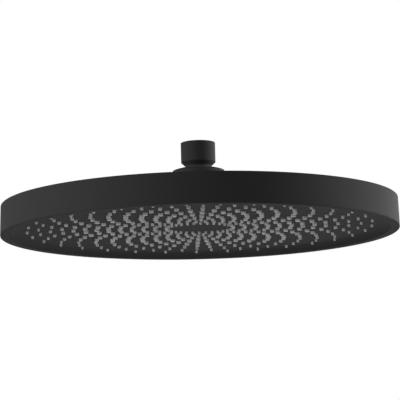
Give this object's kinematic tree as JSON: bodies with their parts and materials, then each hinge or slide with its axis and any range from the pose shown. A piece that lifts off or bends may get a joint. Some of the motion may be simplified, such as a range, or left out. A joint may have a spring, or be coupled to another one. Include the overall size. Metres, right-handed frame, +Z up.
{
  "type": "rain shower head",
  "caption": "Round overhead rain shower head: a flat drum with a recessed spray face of small soft nozzles, on a ball joint with a plain threaded inlet collar.",
  "frame": {"origin": "on the inlet's axis, at the inner end of the inlet thread, where the end of the supply pipe lands on the washer", "axes": "+Z up along the inlet thread, out of its mouth; the spray face looks down along -Z; X is the axis that the head tilts about"},
  "size_m": [0.3, 0.3, 0.0698],
  "materials": {
    "black_shell": "matte black coating on moulded plastic",
    "black_metal": "matte black coating on turned brass",
    "grey_silicone": "soft light grey silicone",
    "black_rubber": "matte black rubber",
    "black_acetal": "smooth black bearing plastic",
    "natural_plastic": "uncoloured moulded plastic",
    "steel": "plain stainless steel"
  },
  "bodies": {
    "connector": {"inlet_connector": "black_metal", "inlet_washer": "black_rubber", "filter_screen": "steel", "flow_restrictor": "natural_plastic"},
    "liner": {"ball_seat": "black_acetal"},
    "head": {"swivel_nut": "black_metal", "ball_seal": "black_rubber", "top_housing": "black_shell", "spigot_gasket": "black_rubber", "chamber_plate": "black_shell", "chamber_gasket": "black_rubber", "chamber_screws": "steel", "spray_face": "black_shell", "spray_nozzles": "grey_silicone"}
  },
  "joints": [
    {"name": "head_swivel", "type": "hinge", "parent": "connector", "child": "liner", "pos_m": [0, 0, -0.0178], "axis": [0, 0, 1], "continuous": true},
    {"name": "head_tilt", "type": "hinge", "parent": "liner", "child": "head", "pos_m": [0, 0, -0.0178], "axis": [1, 0, 0], "range_deg": [-10, 10]}
  ]
}
